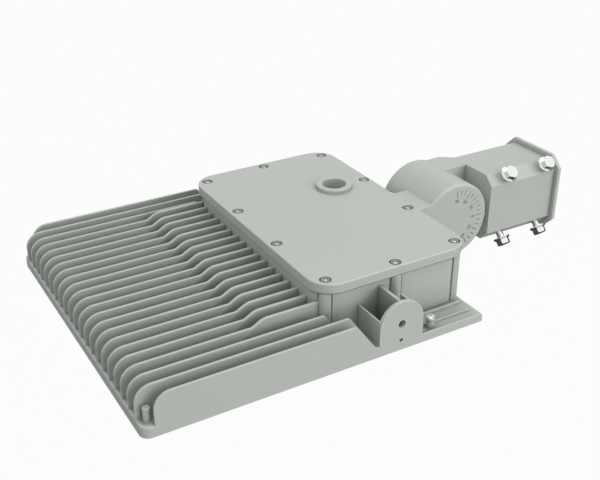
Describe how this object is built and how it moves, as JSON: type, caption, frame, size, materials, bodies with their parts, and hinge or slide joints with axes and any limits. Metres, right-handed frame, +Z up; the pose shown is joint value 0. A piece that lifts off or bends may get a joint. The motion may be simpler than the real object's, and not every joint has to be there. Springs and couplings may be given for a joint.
{
  "type": "led street light head",
  "caption": "Finned die-cast LED street light head with a covered driver box, a tilting knuckle with an angle dial and a bolted slip fitter for a pole tenon.",
  "frame": {"origin": "centre of the tenon socket's mouth", "axes": "+X out of the tenon socket towards the pole, -Y the side with the dial and the clamp bolts, +Z up with the head level and its light facing down"},
  "size_m": [0.552, 0.33, 0.0988],
  "materials": {
    "casting_paint": "fine satin powder coat",
    "gasket_rubber": "matt",
    "cover_screw_steel": "satin",
    "port_plug_plastic": "matt",
    "stainless": "satin",
    "bright_bolt": "bright plated",
    "board_white": "white coated aluminium-core board",
    "emitter_yellow": "phosphor",
    "lens_clear": "clear moulded",
    "seal_grey": "silicone",
    "driver_case": "satin",
    "surge_case": "matt",
    "terminal_plastic": "matt",
    "vent_plastic": "matt"
  },
  "bodies": {
    "fitter": {"slip_fitter": "casting_paint", "upper_clamp_bolts": "bright_bolt", "lower_clamp_bolts": "bright_bolt"},
    "head": {"heat_sink_housing": "casting_paint", "cover_gasket": "gasket_rubber", "driver_cover": "casting_paint", "cover_screws": "cover_screw_steel", "sensor_port_plug": "port_plug_plastic", "sensor_port_seal": "gasket_rubber", "sensor_port_screws": "stainless", "ground_screw": "stainless", "ground_washer": "stainless", "knuckle_base": "casting_paint", "knuckle_gasket": "gasket_rubber", "knuckle_bolts": "stainless", "pivot_bolt": "stainless", "pivot_washer": "stainless", "led_boards": "board_white", "led_chips": "emitter_yellow", "lens_plates": "lens_clear", "lens_seals": "seal_grey", "lens_screws": "stainless", "board_screws": "stainless", "led_driver": "driver_case", "surge_protector": "surge_case", "terminal_block": "terminal_plastic", "inner_screws": "stainless", "lead_grommet": "gasket_rubber", "passage_grommet": "gasket_rubber", "breather_vent": "vent_plastic", "breather_nut": "vent_plastic"}
  },
  "joints": [
    {"name": "knuckle_tilt", "type": "hinge", "parent": "fitter", "child": "head", "pos_m": [-0.1425, 0, -0.0008], "axis": [0, 1, 0], "range_deg": [-90, 90]}
  ]
}
